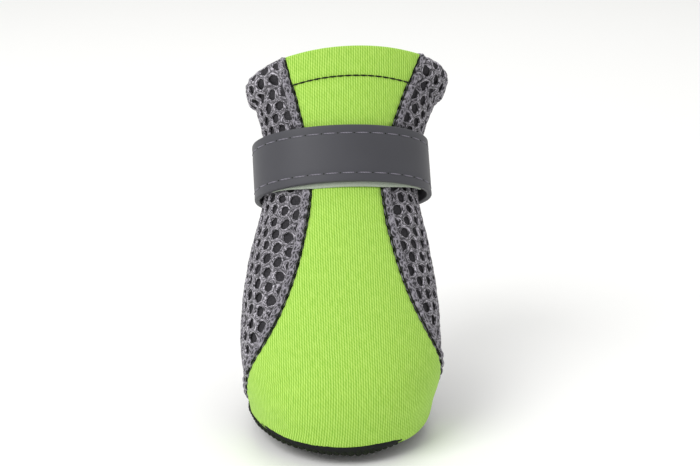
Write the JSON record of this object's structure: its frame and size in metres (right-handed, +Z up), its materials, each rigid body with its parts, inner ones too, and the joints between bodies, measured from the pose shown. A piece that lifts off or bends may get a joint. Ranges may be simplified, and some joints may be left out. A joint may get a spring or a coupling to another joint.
{
  "type": "dog boot",
  "caption": "Soft dog boot: hollow mesh sock with a smooth front panel, wrap strap round the leg, curled rubber sole and insole.",
  "frame": {"origin": "middle of the sole's flat ground face", "axes": "+Z up from the floor, -Y towards the toe, +X across the foot"},
  "size_m": [0.064, 0.0876, 0.1025],
  "materials": {
    "air_mesh": "knitted grey spacer mesh with oval holes",
    "neoprene": "lime green knit jersey on neoprene foam",
    "strap_tape": "grey reflective tape stitched on webbing",
    "sole_rubber": "matt black textured rubber",
    "insole_cloth": "black felted pad"
  },
  "bodies": {
    "root": {"upper": "air_mesh", "front_panel": "neoprene", "strap": "strap_tape", "outsole": "sole_rubber", "insole": "insole_cloth"}
  },
  "joints": []
}
